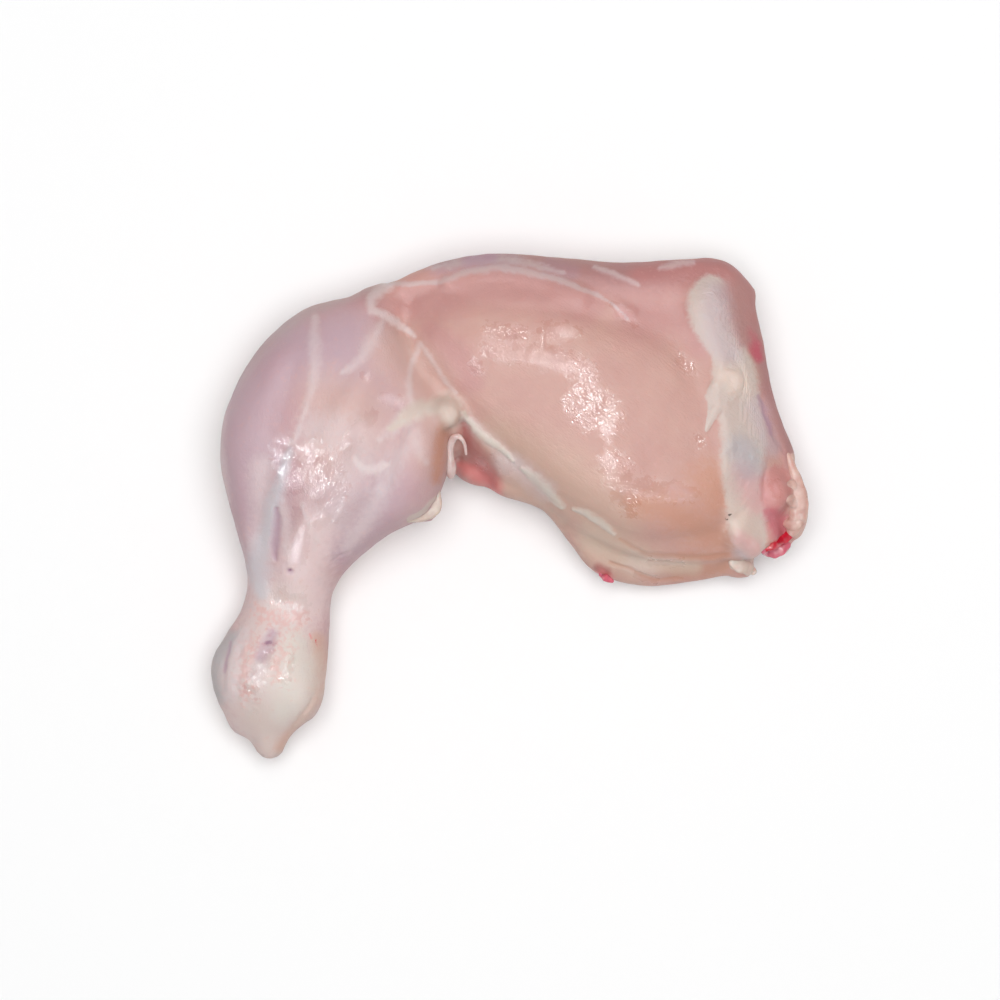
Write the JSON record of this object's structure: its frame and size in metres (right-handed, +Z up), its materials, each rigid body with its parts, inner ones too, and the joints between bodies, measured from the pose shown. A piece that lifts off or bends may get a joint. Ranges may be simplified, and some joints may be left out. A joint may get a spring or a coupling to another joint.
{
  "type": "raw skinless chicken leg",
  "caption": "Raw skinless chicken leg with drumstick and thigh in one piece, lying on its side with the knee bent.",
  "frame": {"origin": "bottom centre of the bounding box, on the surface that the leg lies on", "axes": "+X from the drumstick towards the thigh's cut hip end, the longest side; +Y from the knuckle at the ankle towards the front edge of the thigh and the knee; +Z up, the thickness of the leg as it lies, the shortest side"},
  "size_m": [0.148, 0.1252, 0.0382],
  "materials": {
    "flesh": "wet, glossy raw meat: salmon pink thigh, lilac pink drumstick, cream fat and whitish tendons"
  },
  "bodies": {
    "root": {"leg": "flesh"}
  },
  "joints": []
}
